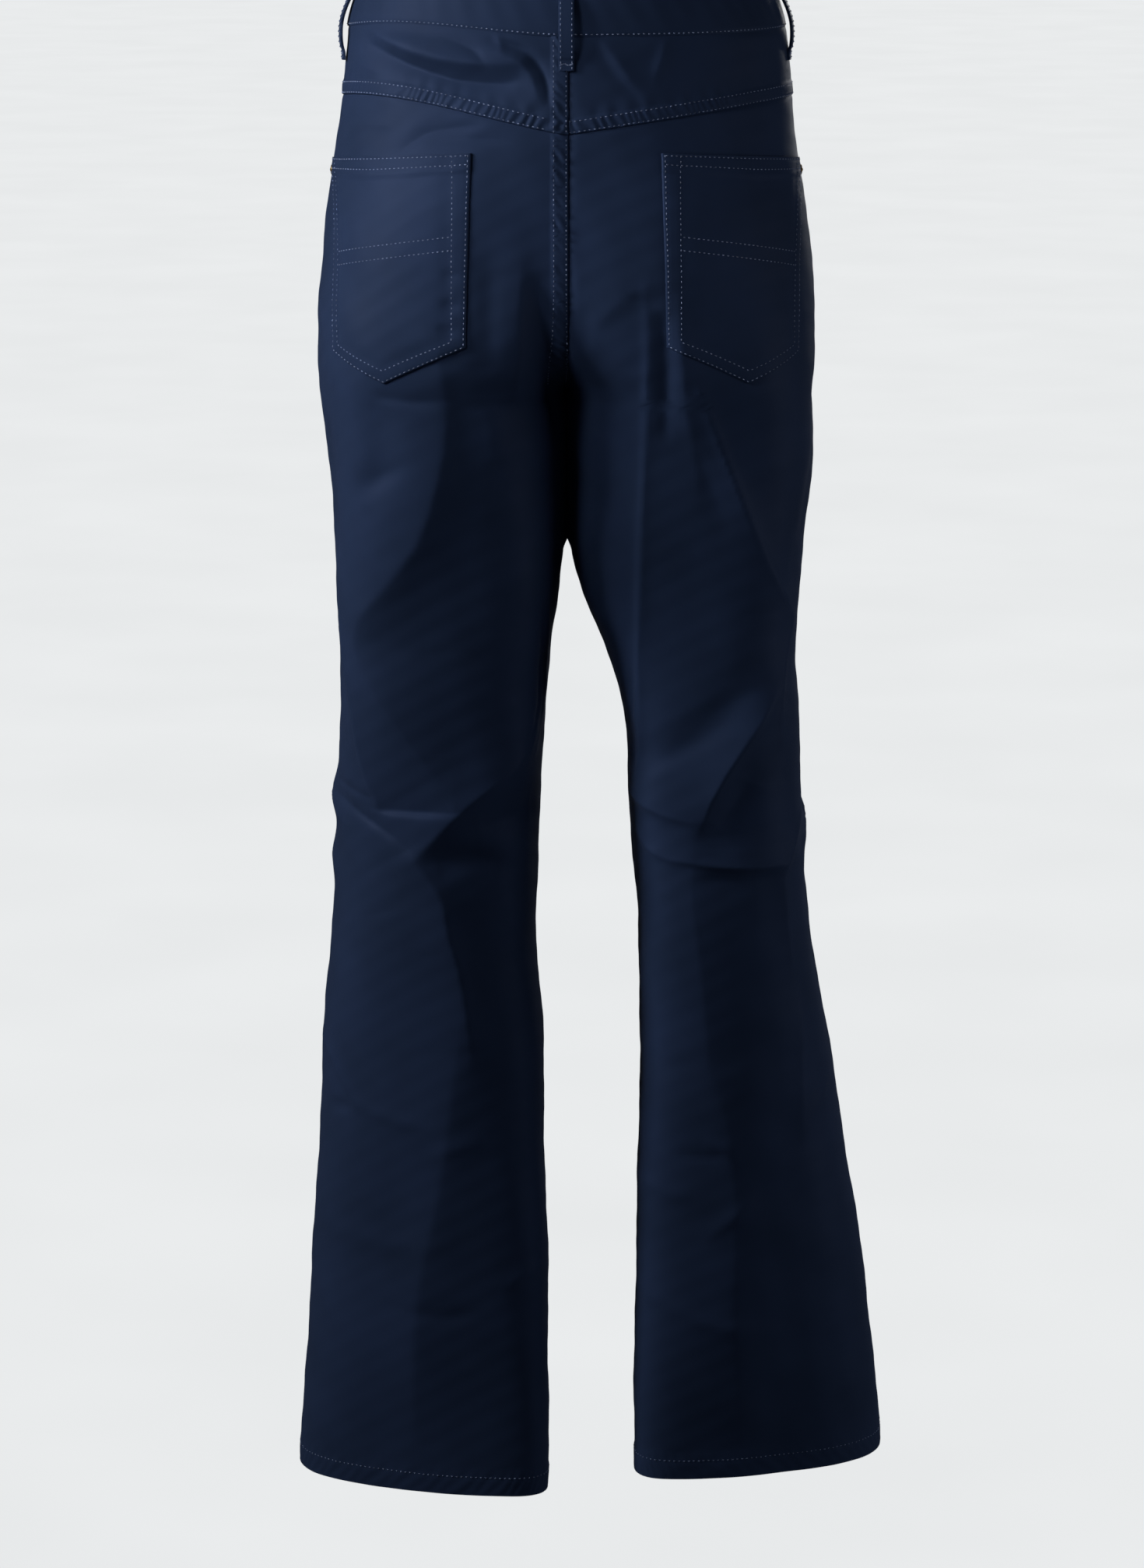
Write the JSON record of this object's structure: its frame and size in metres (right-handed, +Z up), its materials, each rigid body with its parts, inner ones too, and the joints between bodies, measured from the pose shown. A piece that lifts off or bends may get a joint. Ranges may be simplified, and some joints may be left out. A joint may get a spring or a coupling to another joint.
{
  "type": "straight-leg trousers",
  "caption": "High-waisted straight-leg trousers in navy satin cotton, filled out and hollow, with yokes, patch pockets and belt loops.",
  "frame": {"origin": "middle of the waist, level with the waistband's top edge, where the wearer holds the trousers up", "axes": "+Z up; the front faces -Y; +X is the wearer's left"},
  "size_m": [0.4349, 0.2394, 1.105],
  "materials": {
    "navy_sateen": "satin-faced stretch cotton, soft sheen",
    "zip_tape": "matt woven tape",
    "antique_brass": "dull, slightly aged"
  },
  "bodies": {
    "root": {"waistband": "navy_sateen", "fly_shield": "navy_sateen", "yoke_left": "navy_sateen", "yoke_right": "navy_sateen", "back_left": "navy_sateen", "back_right": "navy_sateen", "front_left": "navy_sateen", "front_right": "navy_sateen", "pocket_facing_left": "navy_sateen", "pocket_facing_right": "navy_sateen", "back_pocket_left": "navy_sateen", "back_pocket_right": "navy_sateen", "hem_left": "navy_sateen", "hem_right": "navy_sateen", "belt_loop_back": "navy_sateen", "belt_loop_side_left": "navy_sateen", "belt_loop_side_right": "navy_sateen", "belt_loop_front_left": "navy_sateen", "belt_loop_front_right": "navy_sateen", "zip": "zip_tape", "waist_button": "antique_brass", "rivet_side_left": "antique_brass", "rivet_side_right": "antique_brass", "rivet_waist_left": "antique_brass", "rivet_waist_right": "antique_brass"}
  },
  "joints": []
}
